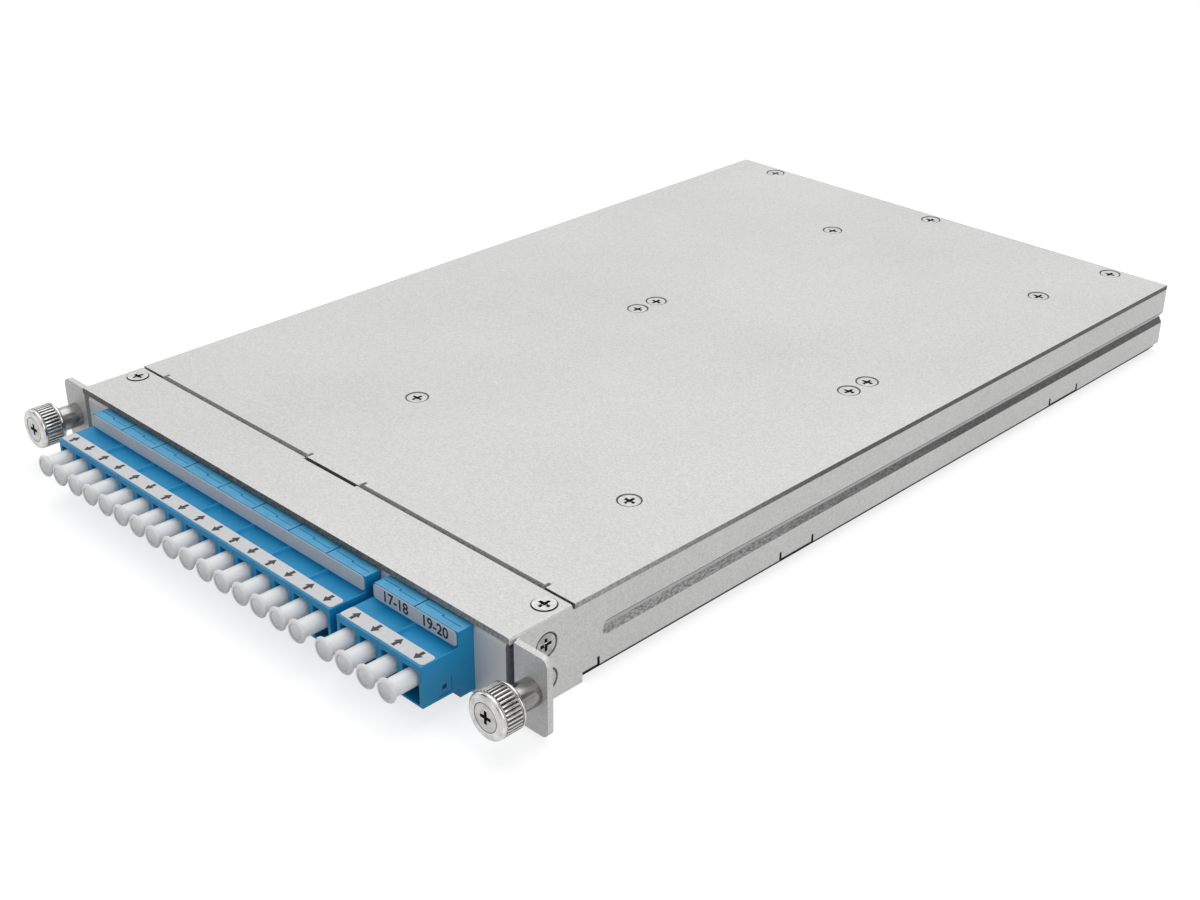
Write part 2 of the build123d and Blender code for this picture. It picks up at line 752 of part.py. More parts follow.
# Captive thumbscrews, one in each ear
knob_start = behind(-knob_face)
knob_end = knob_start + knob_length
disc_back = knob_start + disc_thick
ferrule_start = behind(-ferrule_front)
keeper_front = ear_back - keeper_thick
thread_start = ear_back + fit_gap
screw_tip = thread_start + thread_length
for side_name, sx in (("left", -1), ("right", 1)):
    screw_x = sx * screw_out
    screw_axis = Axis((screw_x, 0, screw_level), (0, 1, 0))

    # Collar pressed into the ear; the lip at its back keeps the screw captive
    with BuildPart() as ferrule:
        with BuildSketch(lengthwise(screw_x)):
            with BuildLine():
                Polyline(
                    (ferrule_start, screw_level + ferrule_bore),
                    (ferrule_start, screw_level + ferrule_radius),
                    (ear_front, screw_level + ferrule_radius),
                    (ear_front, screw_level + ferrule_shank),
                    (ear_back, screw_level + ferrule_shank),
                    (ear_back, screw_level + keeper_radius),
                    (keeper_front, screw_level + keeper_radius),
                    (keeper_front, screw_level + ferrule_bore),
                    close=True,
                )
            make_face()
        revolve(axis=screw_axis)
    save(ferrule, f"ferrule_{side_name}")

    # Knurled knob: a cup whose front face the screw's disc fills
    with BuildPart() as knob:
        with BuildSketch(across(knob_start)):
            with Locations((screw_x, screw_level)):
                Circle(knob_radius)
                Circle(knob_bore, mode=Mode.SUBTRACT)
        extrude(amount=-knob_length)
        rims = knob.edges().filter_by(GeomType.CIRCLE).group_by(SortBy.RADIUS)[-1].sort_by(Axis.Y)
        fillet(rims[0], radius=knob_front_round)
        chamfer(rims[-1], length=knob_rear_edge)
        with BuildSketch(lengthwise(screw_x)):
            for groove_y in (knob_start + knob_rim + knob_groove / 2, knob_end - knob_rim - knob_groove / 2):
                with Locations((groove_y, screw_level + knob_radius)):
                    Rectangle(knob_groove, 2 * knob_groove)
        revolve(axis=screw_axis, mode=Mode.SUBTRACT)
        with BuildSketch(across(knob_start)):
            with Locations((screw_x, screw_level)):
                Circle(knob_bore + fit_gap)
                Circle(disc_radius, mode=Mode.SUBTRACT)
        extrude(amount=-disc_thick)
        with BuildSketch(across(knob_start + knob_rim)):
            with Locations((screw_x, screw_level)):
                with PolarLocations(knob_radius, flute_count):
                    RegularPolygon(flute_radius, 4)
        extrude(amount=-(knob_length - 2 * knob_rim), mode=Mode.SUBTRACT)
    save(knob, f"knob_{side_name}")

    # Screw pressed into the knob: disc with cross recess, thin neck, threaded end
    with BuildPart() as thumbscrew:
        with BuildSketch(lengthwise(screw_x)):
            with BuildLine():
                Polyline(
                    (knob_start, screw_level),
                    (knob_start, screw_level + disc_radius),
                    (disc_back, screw_level + disc_radius),
                    (disc_back, screw_level + neck_radius),
                    (thread_start, screw_level + neck_radius),
                    (thread_start, screw_level + shank_radius),
                    (screw_tip - thread_chamfer, screw_level + shank_radius),
                    (screw_tip, screw_level + shank_radius - thread_chamfer),
                    (screw_tip, screw_level),
                    close=True,
                )
            make_face()
        revolve(axis=screw_axis)
        with BuildSketch(across(knob_start)):
            with Locations((screw_x, screw_level)):
                Rectangle(2 * cross_arm, cross_width)
                Rectangle(cross_width, 2 * cross_arm)
        extrude(amount=-cross_deep, taper=cross_taper, mode=Mode.SUBTRACT)
    save(thumbscrew, f"thumbscrew_{side_name}")

    # Spring between the collar and the screw's disc
    spring_start = disc_back + spring_wire
    spring_end = ferrule_start - spring_wire
    with BuildPart() as spring:
        with BuildLine() as coil:
            Helix(
                pitch=(spring_end - spring_start) / spring_turns,
                height=spring_end - spring_start,
                radius=spring_mean,
                center=(screw_x, spring_start, screw_level),
                direction=(0, 1, 0),
            )
        with BuildSketch(Plane(origin=coil.line @ 0, z_dir=coil.line % 0)):
            Circle(spring_wire)
        sweep(is_frenet=True)
    save(spring, f"spring_{side_name}")

# Filters: sealed boxes hung under the lid by four screws each, with a gland for their fibres
module_left = module_centre_x - module_width / 2
module_top = lid_underside
module_middle_level = module_top - module_tall / 2
for name, place in zip(("filter_module_front", "filter_module_rear"), module_places):
    with BuildPart() as filter_module:
        with BuildSketch(Plane.XY.offset(module_top - module_tall)):
            with Locations((module_centre_x, behind(place))):
                RectangleRounded(module_width, module_length, module_corner)
        extrude(amount=module_tall)
        own_holes = [(x, y) for x, y in module_holes if abs(y - behind(place)) < module_length / 2]
        for x, y in own_holes:
            with Locations((x, y, module_top)):
                Hole(shank_radius + fit_gap, depth=lid_screw_length)
        with Locations((module_left, behind(place), module_middle_level)):
            Cylinder(
                module_gland_radius,
                module_gland_long,
                rotation=(0, -90, 0),
                align=(Align.CENTER, Align.CENTER, Align.MIN),
            )
    save(filter_module, name)

# Inner plugs: square body in the tail's socket and a tapered boot behind it
plug_start = tail_back - plug_inside
boot_start = plug_start + plug_length
boot_end = boot_start + boot_length
with BuildPart() as inner_plugs:
    with BuildSketch(across(plug_start)):
        with Locations(*[(x, port_level) for x in ports]):
            Rectangle(plug_size, plug_size)
    extrude(amount=-plug_length)
    with BuildSketch(across(boot_start)):
        with Locations(*[(x, port_level) for x in ports]):
            Rectangle(boot_size, boot_size)
    extrude(amount=-boot_length, taper=boot_taper)
save(inner_plugs, "inner_plugs")

# Fibre loom: a trunk behind the plugs with a branch to each boot, led round to both filters
loom_y = behind(loom_row)
loom_lane = -(wall_inside - flange_reach - 2 * fit_gap - saddle_width / 2)
gland_end = module_left - module_gland_long
front_gland_y, rear_gland_y = [behind(place) for place in module_places]
corner_x = loom_lane + loom_corner


def loom_reach(x):
    """Y of the trunk's centre line at this x, along its row and round its first corner."""
    if x > corner_x:
        return loom_y
    return loom_y + loom_corner - (loom_corner**2 - (x - corner_x) ** 2) ** 0.5


with BuildPart() as fibre_loom:
    with BuildLine() as trunk:
        FilletPolyline(
            (ports[-1], loom_y, port_level),
            (loom_lane, loom_y, port_level),
            (loom_lane, rear_gland_y, port_level),
            (gland_end, rear_gland_y, port_level),
            radius=[loom_corner, loom_sweep],
        )
    with BuildSketch(Plane(origin=trunk.line @ 0, z_dir=trunk.line % 0)):
        Circle(loom_radius)
    sweep()
    with BuildLine() as leg:
        FilletPolyline(
            (gland_end, front_gland_y, port_level),
            (gland_end - leg_run, front_gland_y, port_level),
            (loom_lane, front_gland_y - leg_join, port_level),
            radius=loom_sweep,
        )
    with BuildSketch(Plane(origin=leg.line @ 0, z_dir=leg.line % 0)):
        Circle(leg_radius)
    sweep()
    for port_x in ports:
        with BuildSketch(across(boot_end)):
            with Locations((port_x, port_level)):
                Circle(fibre_radius)
        extrude(amount=-(loom_reach(port_x) - boot_end))
save(fibre_loom, "fibre_loom")

# Saddles on the pan carry the loom
with BuildPart() as loom_saddles:
    for x in [adapter_places[number - 1][0] for number in saddle_adapters]:
        with BuildSketch(lengthwise(x - saddle_long / 2)):
            with Locations((loom_y, (plate_sheet + port_level) / 2)):
                Rectangle(saddle_width, port_level - plate_sheet)
            with Locations((loom_y, port_level)):
                Circle(loom_radius + fit_gap, mode=Mode.SUBTRACT)
        extrude(amount=saddle_long)
    for place in saddle_lane_places:
        with BuildSketch(across(behind(place) - saddle_long / 2)):
            with Locations((loom_lane, (plate_sheet + port_level) / 2)):
                Rectangle(saddle_width, port_level - plate_sheet)
            with Locations((loom_lane, port_level)):
                Circle(loom_radius + fit_gap, mode=Mode.SUBTRACT)
        extrude(amount=-saddle_long)
save(loom_saddles, "loom_saddles")
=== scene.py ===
import json
import math

import bpy
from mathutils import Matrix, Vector


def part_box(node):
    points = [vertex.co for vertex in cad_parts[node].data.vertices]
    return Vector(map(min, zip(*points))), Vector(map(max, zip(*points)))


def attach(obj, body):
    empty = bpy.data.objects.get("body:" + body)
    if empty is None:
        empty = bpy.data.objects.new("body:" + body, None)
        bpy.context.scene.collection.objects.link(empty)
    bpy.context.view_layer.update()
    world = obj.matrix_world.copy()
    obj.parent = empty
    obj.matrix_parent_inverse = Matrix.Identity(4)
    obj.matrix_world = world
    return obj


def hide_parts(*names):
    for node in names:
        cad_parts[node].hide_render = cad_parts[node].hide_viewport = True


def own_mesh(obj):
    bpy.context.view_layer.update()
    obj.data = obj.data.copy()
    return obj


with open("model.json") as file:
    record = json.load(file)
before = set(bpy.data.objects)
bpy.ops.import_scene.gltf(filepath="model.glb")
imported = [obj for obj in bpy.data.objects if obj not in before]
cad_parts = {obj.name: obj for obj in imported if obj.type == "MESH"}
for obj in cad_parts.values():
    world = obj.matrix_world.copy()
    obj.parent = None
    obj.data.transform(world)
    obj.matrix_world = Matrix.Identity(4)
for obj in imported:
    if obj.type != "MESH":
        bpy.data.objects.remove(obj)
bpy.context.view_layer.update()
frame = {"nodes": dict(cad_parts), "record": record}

# Photographer's table: a seamless white surface under one large overhead softbox and two
# side boxes, seen from the right of the adapters and a little above.
mm = 0.001
camera_data = bpy.data.cameras.new("camera")
camera_data.lens = 52.46
camera_data.sensor_width = 36
camera_data.clip_start = 0.01
camera_data.clip_end = 50
camera = bpy.data.objects.new("camera", camera_data)
bpy.context.scene.collection.objects.link(camera)
heading = math.radians(44.86)
downward = math.radians(27.83)
roll = math.radians(-0.19)
camera.location = Vector((275.7, -299.65, 200.2)) * mm
camera.rotation_euler = (math.pi / 2 - downward, roll, heading)
bpy.context.scene.camera = camera
bpy.context.scene.view_settings.view_transform = "Standard"


def white_for_view(tree, plain, seen):
    """Strength that is plain for soft light and seen for what the camera, gloss and glass look at."""
    path = tree.nodes.new("ShaderNodeLightPath")
    either = tree.nodes.new("ShaderNodeMath")
    either.operation = "MAXIMUM"
    tree.links.new(path.outputs["Is Camera Ray"], either.inputs[0])
    tree.links.new(path.outputs["Is Glossy Ray"], either.inputs[1])
    any_view = tree.nodes.new("ShaderNodeMath")
    any_view.operation = "MAXIMUM"
    tree.links.new(either.outputs[0], any_view.inputs[0])
    tree.links.new(path.outputs["Is Transmission Ray"], any_view.inputs[1])
    strength = tree.nodes.new("ShaderNodeMapRange")
    strength.inputs["To Min"].default_value = plain
    strength.inputs["To Max"].default_value = seen
    tree.links.new(any_view.outputs[0], strength.inputs["Value"])
    return strength.outputs[0]


room_light = 0.36
room_white = 1.0
world = bpy.data.worlds.new("studio_room")
world.use_nodes = True
bpy.context.scene.world = world
room = world.node_tree.nodes["Background"]
room.inputs["Color"].default_value = (1, 1, 1, 1)
room_strength = white_for_view(world.node_tree, room_light, room_white)
world.node_tree.links.new(room_strength, room.inputs["Strength"])

table_wide = 8
table_grey = 0.46
table_white = 0.72
bpy.ops.object.select_all(action="DESELECT")
bpy.ops.mesh.primitive_grid_add(x_subdivisions=4, y_subdivisions=4, size=table_wide, location=(0, 0, 0))
table = bpy.context.object
table.name = "white_table"
table_finish = bpy.data.materials.new("white_table_card")
table_finish.use_nodes = True
card = table_finish.node_tree.nodes["Principled BSDF"]
card.inputs["Base Color"].default_value = (table_grey, table_grey, table_grey, 1)
card.inputs["Roughness"].default_value = 0.9
card.inputs["Specular IOR Level"].default_value = 0
card.inputs["Emission Color"].default_value = (1, 1, 1, 1)
table_strength = white_for_view(table_finish.node_tree, 0, table_white)
table_finish.node_tree.links.new(table_strength, card.inputs["Emission Strength"])
table.data.materials.append(table_finish)


def softbox(name, place, size, power):
    """Area lamp aimed at the object."""
    lamp = bpy.data.lights.new(name, "AREA")
    lamp.shape = "RECTANGLE"
    lamp.size = size[0]
    lamp.size_y = size[1]
    lamp.energy = power
    box = bpy.data.objects.new(name, lamp)
    bpy.context.scene.collection.objects.link(box)
    box.location = place
    box.rotation_euler = (-Vector(place)).to_track_quat("-Z", "Y").to_euler()


softbox("overhead_box", place=(-0.25, 0.35, 1.3), size=(1.4, 1.4), power=9.5)
softbox("left_box", place=(-1.2, -0.6, 0.7), size=(0.8, 0.8), power=2.0)
softbox("right_box", place=(1.2, -0.1, 0.55), size=(0.7, 0.9), power=4.5)

# Dark cards: three sheets of matt card that face the object from the edge of the set. They give
# no shade, and only polished metal shows them, as the dark streaks that real nickel has.
flag_finish = bpy.data.materials.new("dark_card")
flag_finish.use_nodes = True
flag_shader = flag_finish.node_tree.nodes["Principled BSDF"]
flag_shader.inputs["Base Color"].default_value = (0.01, 0.01, 0.01, 1)
flag_shader.inputs["Specular IOR Level"].default_value = 0


def dark_card(name, place, size):
    """Card that faces the object and is there for reflections alone."""
    bpy.ops.mesh.primitive_grid_add(x_subdivisions=2, y_subdivisions=2, size=1, location=place)
    flag = bpy.context.object
    flag.name = name
    flag.scale = (*size, 1)
    flag.rotation_euler = (-Vector(place)).to_track_quat("Z", "Y").to_euler()
    flag.visible_camera = False
    flag.visible_diffuse = False
    flag.visible_transmission = False
    flag.visible_shadow = False
    flag.data.materials.append(flag_finish)


dark_card("card_back_right", place=(0.66, 0.45, 0.55), size=(0.42, 0.5))
dark_card("card_front_left", place=(-0.7, -0.75, 0.5), size=(0.5, 0.5))
dark_card("card_front_right", place=(0.35, -1.0, 0.35), size=(0.45, 0.35))

# Frame: steel sheet 1.5 mm thick, cut and folded, with a fine-grained silver coat. The sheared edges are
# darker and rougher than the faces. Painted shade darkens the groove's lower slope, the gaps under the
# walls and in the right ear's bend, the countersinks and a band along each wall's foot.
nodes = frame["nodes"]
record = frame["record"]
body_of_node = {}
for body, members in record["behaviour"]["bodies"].items():
    for node in members:
        body_of_node[node] = body
same_place = 0.002 * mm


def new_finish(name, colour, metallic, roughness):
    """Material with its shader, and the object's own coordinates to place a grain on."""
    finish = bpy.data.materials.new(name)
    finish.use_nodes = True
    tree = finish.node_tree
    shader = tree.nodes["Principled BSDF"]
    shader.inputs["Base Color"].default_value = (*colour, 1)
    shader.inputs["Metallic"].default_value = metallic
    shader.inputs["Roughness"].default_value = roughness
    place = tree.nodes.new("ShaderNodeTexCoord").outputs["Object"]
    return finish, tree, shader, place


def grain(tree, place, size, detail=2.0):
    """Noise whose spots are about this many metres across."""
    noise = tree.nodes.new("ShaderNodeTexNoise")
    noise.inputs["Scale"].default_value = 0.5 / size
    noise.inputs["Detail"].default_value = detail
    tree.links.new(place, noise.inputs["Vector"])
    return noise.outputs["Fac"]


def stretched(tree, place, scale):
    """Coordinates drawn out along an axis where its scale is small."""
    mapping = tree.nodes.new("ShaderNodeMapping")
    mapping.inputs["Scale"].default_value = scale
    tree.links.new(place, mapping.inputs["Vector"])
    return mapping.outputs["Vector"]


def along(tree, place, axis, start, end):
    """Value from 0 to 1 between two places on one axis, in metres."""
    parts = tree.nodes.new("ShaderNodeSeparateXYZ")
    tree.links.new(place, parts.inputs["Vector"])
    span = tree.nodes.new("ShaderNodeMapRange")
    span.interpolation_type = "SMOOTHSTEP"
    span.inputs["From Min"].default_value = start
    span.inputs["From Max"].default_value = end
    tree.links.new(parts.outputs[axis], span.inputs["Value"])
    return span.outputs[0]


def spread(tree, value, low, high, start=0.3, end=0.7):
    """Value from start to end, spread from low to high."""
    span = tree.nodes.new("ShaderNodeMapRange")
    span.inputs["From Min"].default_value = start
    span.inputs["From Max"].default_value = end
    span.inputs["To Min"].default_value = low
    span.inputs["To Max"].default_value = high
    tree.links.new(value, span.inputs["Value"])
    return span.outputs[0]


def tinted(tree, value, dark, light):
    """Colour between two, by a value from 0 to 1; each end is three numbers or another colour."""
    mix = tree.nodes.new("ShaderNodeMix")
    mix.data_type = "RGBA"
    tree.links.new(value, mix.inputs["Factor"])
    for end, colour in (("A", dark), ("B", light)):
        socket = next(s for s in mix.inputs if s.name == end and s.type == "RGBA")
        if isinstance(colour, tuple):
            socket.default_value = (*colour, 1)
        else:
            tree.links.new(colour, socket)
    return next(s for s in mix.outputs if s.type == "RGBA")


def mottled(tree, shader, place, size, dark, light, detail=2.0):
    """Colour that wanders between two, in spots about this many metres across."""
    spots = spread(tree, grain(tree, place, size, detail), 0, 1)
    tree.links.new(tinted(tree, spots, dark, light), shader.inputs["Base Color"])


def uneven(tree, shader, place, size, low, high):
    """Roughness that wanders between two values, in spots about this many metres across."""
    tree.links.new(spread(tree, grain(tree, place, size), low, high), shader.inputs["Roughness"])


def raised(tree, shader, value, height, strength):
    """Fine relief of this many metres on the surface."""
    bump = tree.nodes.new("ShaderNodeBump")
    bump.inputs["Strength"].default_value = strength
    bump.inputs["Distance"].default_value = height
    tree.links.new(value, bump.inputs["Height"])
    tree.links.new(bump.outputs["Normal"], shader.inputs["Normal"])


def eased(node, finish, edge, steps=2, sharpest=35):
    """Copy of a CAD node that stands for it, with edges over this many degrees broken by this width."""
    bpy.ops.object.select_all(action="DESELECT")
    piece = bpy.data.objects.new(f"{node}_eased", nodes[node].data.copy())
    bpy.context.scene.collection.objects.link(piece)
    bpy.context.view_layer.objects.active = piece
    piece.select_set(True)
    for mesh in (piece.data, nodes[node].data):
        mesh.materials.clear()
        mesh.materials.append(finish)
    bpy.ops.mesh.customdata_custom_splitnormals_clear()
    bpy.ops.object.mode_set(mode="EDIT")
    bpy.ops.mesh.select_all(action="SELECT")
    bpy.ops.mesh.remove_doubles(threshold=same_place)
    bpy.ops.mesh.dissolve_limited(angle_limit=math.radians(0.5))
    bpy.ops.object.mode_set(mode="OBJECT")
    rounding = piece.modifiers.new("edge", "BEVEL")
    rounding.width = edge
    rounding.segments = steps
    rounding.limit_method = "ANGLE"
    rounding.angle_limit = math.radians(sharpest)
    rounding.use_clamp_overlap = False
    bpy.ops.object.modifier_apply(modifier=rounding.name)
    bpy.ops.object.shade_smooth_by_angle(angle=math.radians(40))
    flat = piece.modifiers.new("flat_faces_stay_flat", "WEIGHTED_NORMAL")
    flat.keep_sharp = True
    bpy.ops.object.modifier_apply(modifier=flat.name)
    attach(piece, body_of_node[node])
    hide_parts(node)
    return piece


def finish_where(piece, finish, picked):
    """Second finish on the faces picked by their middle, in millimetres, and their normal."""
    piece.data.materials.append(finish)
    last = len(piece.data.materials) - 1
    for face in piece.data.polygons:
        if picked(face.center / mm, face.normal):
            face.material_index = last


front_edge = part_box("frame")[0].y / mm
top_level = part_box("frame")[1].z / mm
slack = 0.1
sheet_thick = 1.5
wall_outside = 75.0
wall_inside = wall_outside - sheet_thick
strip_bottom = top_level - sheet_thick
strip_edge_deep = 1.0
fold_round = 0.6
wall_bottom = 2.2
foot_start = 18.5
foot_tall = 2.0
foot_reach = 0.5
foot_shade_full = 0.15
foot_clear = 0.65
groove_level = 9.8
groove_half = 1.55
groove_deep = 0.9
groove_back = 24.0
groove_lip = 0.15
ear_bend_back = 2.6
cone_least = 0.3
cone_most = 0.95
screw_reach = 3.4
strip_screw_x = 70.95
strip_screw_back = 12.7
side_screw_back = 9.4
side_screws_low = 1.5
side_screws_high = 16.6

sheet_coat, tree, shader, place = new_finish("silver_grain_coat", (0.66, 0.66, 0.655), 0.35, 0.5)
fine = grain(tree, place, 0.22 * mm, 3)
flake = tinted(tree, spread(tree, fine, 0, 1), (0.565, 0.565, 0.558), (0.71, 0.71, 0.705))
cloud = tinted(tree, spread(tree, grain(tree, place, 22 * mm), 0, 1), (0.94, 0.94, 0.94), (1, 1, 1))
shade = tree.nodes.new("ShaderNodeMix")
shade.data_type = "RGBA"
shade.blend_type = "MULTIPLY"
shade.inputs["Factor"].default_value = 1
first_colour, second_colour = [socket for socket in shade.inputs if socket.type == "RGBA"]
plain_coat = next(socket for socket in shade.outputs if socket.type == "RGBA")
tree.links.new(flake, first_colour)
tree.links.new(cloud, second_colour)
tree.links.new(plain_coat, shader.inputs["Base Color"])
uneven(tree, shader, place, 0.3 * mm, 0.44, 0.6)
raised(tree, shader, fine, 0.02 * mm, 0.3)

cut_edge, tree, shader, place = new_finish("sheared_edge", (0.2, 0.19, 0.18), 0.5, 0.55)
crumbs = spread(tree, grain(tree, place, 0.3 * mm, 4), 0, 1)
brown = tinted(tree, crumbs, (0.06, 0.053, 0.048), (0.24, 0.22, 0.2))
grey = tinted(tree, crumbs, (0.2, 0.193, 0.186), (0.5, 0.49, 0.475))
to_the_right = along(tree, place, "X", 20 * mm, 75 * mm)
tree.links.new(tinted(tree, to_the_right, brown, grey), shader.inputs["Base Color"])
raised(tree, shader, grain(tree, place, 0.3 * mm), 0.06 * mm, 0.6)

# Painted shade on the groove's lower slope, with a painted reflection that lightens it towards the front.
fold_shade, tree, shader, place = new_finish("painted_groove_shade", (0.1, 0.1, 0.1), 0.4, 0.5)
speckle = spread(tree, grain(tree, stretched(tree, place, (1, 0.7, 2)), 0.3 * mm, 3), 0, 1, 0.35, 0.6)
near = tinted(tree, speckle, (0.16, 0.16, 0.16), (0.42, 0.42, 0.42))
far = tinted(tree, speckle, (0.055, 0.055, 0.055), (0.12, 0.12, 0.12))
to_the_rear = along(tree, place, "Y", -90 * mm, 40 * mm)
tree.links.new(tinted(tree, to_the_rear, near, far), shader.inputs["Base Color"])
raised(tree, shader, speckle, 0.05 * mm, 0.5)

# Painted shade: a near-black finish for gaps, recesses and undersides where shade falls.
gap_shade, tree, shader, place = new_finish("painted_gap_shade", (0.03, 0.03, 0.03), 0, 0.8)
shader.inputs["Specular IOR Level"].default_value = 0.15
mottled(tree, shader, place, 0.3 * mm, (0.012, 0.012, 0.014), (0.05, 0.05, 0.052))

# Painted shade in the countersink cones round the screw heads.
ring_shade, tree, shader, place = new_finish("painted_countersink_shade", (0.1, 0.1, 0.1), 0.4, 0.5)
mottled(tree, shader, place, 0.5 * mm, (0.03, 0.03, 0.03), (0.2, 0.2, 0.2))

# Painted shade: the wall's coat turns near black along its foot and fades out a little higher.
foot_coat = sheet_coat.copy()
foot_coat.name = "coat_with_painted_foot_shade"
tree = foot_coat.node_tree
shader = tree.nodes["Principled BSDF"]
plain_coat = shader.inputs["Base Color"].links[0].from_socket
place = next(part for part in tree.nodes if part.type == "TEX_COORD").outputs["Object"]
above_foot = along(tree, place, "Z", (wall_bottom + foot_shade_full) * mm, (wall_bottom + foot_clear) * mm)
tree.links.new(tinted(tree, above_foot, (0.02, 0.02, 0.02), plain_coat), shader.inputs["Base Color"])


def on_strip_edge(middle, normal):
    """The strip's sheared front edge, up to its rounded folds."""
    return (
        normal.y < -0.4
        and middle.z > strip_bottom - slack
        and abs(middle.x) < wall_outside - fold_round
        and middle.y < front_edge + strip_edge_deep
    )


def on_groove_slope(middle, normal):
    """The lower slope of the pressed groove."""
    return (
        abs(middle.x) > wall_outside - groove_deep - 2 * slack
        and abs(normal.x) > 0.6
        and normal.z > 0.2
        and groove_level - groove_half - slack < middle.z < groove_level + 2 * slack
    )


def in_frame_gap(middle, normal):
    """Faces given painted shade: under the walls, along the groove's upper lip and in the bend of the
    right ear.
    """
    under_wall = (
        middle.y > front_edge + foot_start
        and middle.z < wall_bottom + foot_tall
        and abs(middle.x) > wall_inside - foot_reach
        and (normal.z < -0.12 or abs(normal.y) > 0.9)
    )
    upper_lip = (
        middle.y > front_edge + groove_back
        and -0.45 < normal.z < -0.06
        and abs(middle.x) > wall_outside - groove_lip
        and groove_level + groove_half - slack < middle.z < groove_level + groove_half + 2 * slack
    )
    ear_bend = (
        middle.y < front_edge + ear_bend_back
        and wall_inside - slack < middle.x < wall_outside - 3 * slack
        and middle.z < strip_bottom - slack
        and normal.y < -0.05
    )
    return under_wall or upper_lip or ear_bend


def on_wall_below_groove(middle, normal):
    """The outside of each wall, from its foot to the groove."""
    return (
        abs(normal.x) > 0.9
        and abs(middle.x) > wall_outside - slack
        and middle.y > front_edge + foot_start
        and wall_bottom + 2 * slack < middle.z < groove_level - groove_half
    )


def on_frame_countersink(middle, normal):
    """The cones under the strip screws and the side screws."""
    from_strip_screw = math.hypot(abs(middle.x) - strip_screw_x, middle.y - front_edge - strip_screw_back)
    in_strip = cone_least < normal.z < cone_most and from_strip_screw < screw_reach
    in_wall = (
        cone_least < abs(normal.x) < cone_most
        and abs(middle.x) > wall_inside - slack
        and abs(middle.y - front_edge - side_screw_back) < screw_reach
        and side_screws_low < middle.z < side_screws_high
    )
    return in_strip or in_wall


frame_sheet = eased("frame", sheet_coat, 0.1 * mm, sharpest=28)
finish_where(frame_sheet, cut_edge, on_strip_edge)
finish_where(frame_sheet, fold_shade, on_groove_slope)
finish_where(frame_sheet, gap_shade, in_frame_gap)
finish_where(frame_sheet, foot_coat, on_wall_below_groove)
finish_where(frame_sheet, ring_shade, on_frame_countersink)

# Front panel: thin steel tray, smooth and slightly bluish, behind the strip's front edge. It carries the
# adapters in two long cut-outs, and its side edges carry painted shade beside the ears.
panel_finish, tree, shader, place = new_finish("smooth_panel_zinc", (0.8, 0.8, 0.79), 0.15, 0.5)
mottled(tree, shader, place, 6 * mm, (0.78, 0.77, 0.75), (0.85, 0.84, 0.82))
raised(tree, shader, grain(tree, place, 0.4 * mm), 0.01 * mm, 0.2)
# Painted shade on the panel's side edges.
panel_side, tree, shader, place = new_finish("painted_panel_side_shade", (0.27, 0.29, 0.33), 0, 0.6)
mottled(tree, shader, place, 0.6 * mm, (0.22, 0.24, 0.27), (0.31, 0.33, 0.37))


def on_panel_side(middle, normal):
    """The panel's two side edges."""
    return abs(middle.x) > wall_inside - 2 * slack and abs(normal.x) > 0.5


panel = eased("front_panel", panel_finish, 0.08 * mm)
finish_where(panel, panel_side, on_panel_side)

# Duplex adapters: moulded blue plastic, satin, with softly broken edges. Their collars seat on the panel
# side by side. The collar tops are a lighter blue as painted light, and the seams between them and the
# side pockets carry painted shade.
adapter_finish, tree, shader, place = new_finish("moulded_blue", (0.02, 0.27, 0.52), 0, 0.38)
shader.inputs["Specular IOR Level"].default_value = 0.3
mottled(tree, shader, place, 3 * mm, (0.007, 0.26, 0.53), (0.013, 0.29, 0.585))
uneven(tree, shader, place, 0.2 * mm, 0.32, 0.44)
raised(tree, shader, grain(tree, place, 0.12 * mm), 0.008 * mm, 0.25)
# Painted light: the collar tops are a lighter blue than the rest of the adapter.
collar_top_painted_light, tree, shader, place = new_finish("moulded_blue_painted_lit_top", (0.06, 0.37, 0.65), 0, 0.42)
mottled(tree, shader, place, 1.5 * mm, (0.05, 0.34, 0.61), (0.08, 0.4, 0.68))
raised(tree, shader, grain(tree, place, 0.12 * mm), 0.008 * mm, 0.25)
# Painted shade in the seams between collars and in the side pockets.
adapter_seam_shade, tree, shader, place = new_finish("moulded_blue_painted_seam_shade", (0.004, 0.09, 0.19), 0, 0.5)
mottled(tree, shader, place, 1.5 * mm, (0.003, 0.07, 0.15), (0.006, 0.1, 0.21))

panel_setback = 0.4
collar_thick = 3.9
collar_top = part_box("lc_adapter_1")[1].z / mm
collar_middle = front_edge + panel_setback - collar_thick / 2
collar_reach = 2.2
collar_skin = 0.08
seam_deep = 0.25
row_end_wide = 1.5
row_ends = [
    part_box("lc_adapter_1")[0].x / mm,
    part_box("lc_adapter_8")[1].x / mm,
    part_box("lc_adapter_9")[0].x / mm,
    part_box("lc_adapter_10")[1].x / mm,
]
pocket_middle = front_edge - 7.1
pocket_level = 6.7
pocket_reach = 1.9
hole_least = 0.3
hole_most = 0.8


def on_collar_top(middle, normal):
    """The upper face of an adapter's collar."""
    return middle.z > collar_top - collar_skin and normal.z > 0.5


